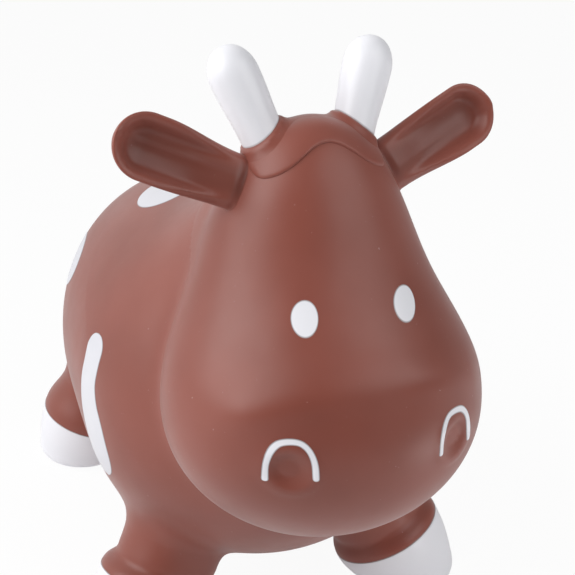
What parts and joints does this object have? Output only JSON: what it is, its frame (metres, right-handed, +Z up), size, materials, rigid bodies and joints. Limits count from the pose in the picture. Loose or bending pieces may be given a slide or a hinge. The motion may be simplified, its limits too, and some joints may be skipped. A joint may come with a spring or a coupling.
{
  "type": "cow hopper",
  "caption": "Inflatable ride-on hopper shaped like a cow, with splayed hooves, thumb-shaped horns, scooped ears to hold and a belly stopper, for a child to sit astride and bounce on.",
  "frame": {"origin": "on the floor, under the middle of the whole cow's box", "axes": "+Z up from the soles; the cow faces -Y; +X is the cow's own left"},
  "size_m": [0.3264, 0.5248, 0.4895],
  "materials": {
    "brown_skin": "satin chocolate-brown soft PVC",
    "white_paint": "glossy cool white on soft PVC",
    "stopper": "plain white moulded stopper"
  },
  "bodies": {
    "cow": {"body_skin": "brown_skin", "hoof_front_right": "white_paint", "hoof_front_left": "white_paint", "hoof_rear_right": "white_paint", "hoof_rear_left": "white_paint", "horn_right": "white_paint", "horn_left": "white_paint", "forelock": "brown_skin", "eye_right": "white_paint", "eye_left": "white_paint", "nostril_right": "white_paint", "nostril_left": "white_paint", "patch_flank_right": "white_paint", "patch_rump_right": "white_paint", "patch_rump_left": "white_paint", "patch_shoulder_left": "white_paint", "patch_flank_left": "white_paint", "patch_back": "white_paint", "tail": "brown_skin"},
    "right_ear": {"ear_right": "brown_skin"},
    "left_ear": {"ear_left": "brown_skin"},
    "stopper": {"valve_plug": "stopper"}
  },
  "joints": [
    {"name": "right_ear_bend", "type": "hinge", "parent": "cow", "child": "right_ear", "pos_m": [-0.05479, -0.12647, 0.40234], "axis": [-0.4342, -0.3375, -0.8352], "range_deg": [-35, 25], "stiffness_Nm_per_rad": 2.5},
    {"name": "left_ear_bend", "type": "hinge", "parent": "cow", "child": "left_ear", "pos_m": [0.05479, -0.12647, 0.40234], "axis": [-0.4342, 0.3375, 0.8352], "range_deg": [-35, 25], "stiffness_Nm_per_rad": 2.5},
    {"name": "stopper_pull", "type": "slide", "parent": "cow", "child": "stopper", "axis": [0, 0, -1], "range_m": [0, 0.022]}
  ]
}
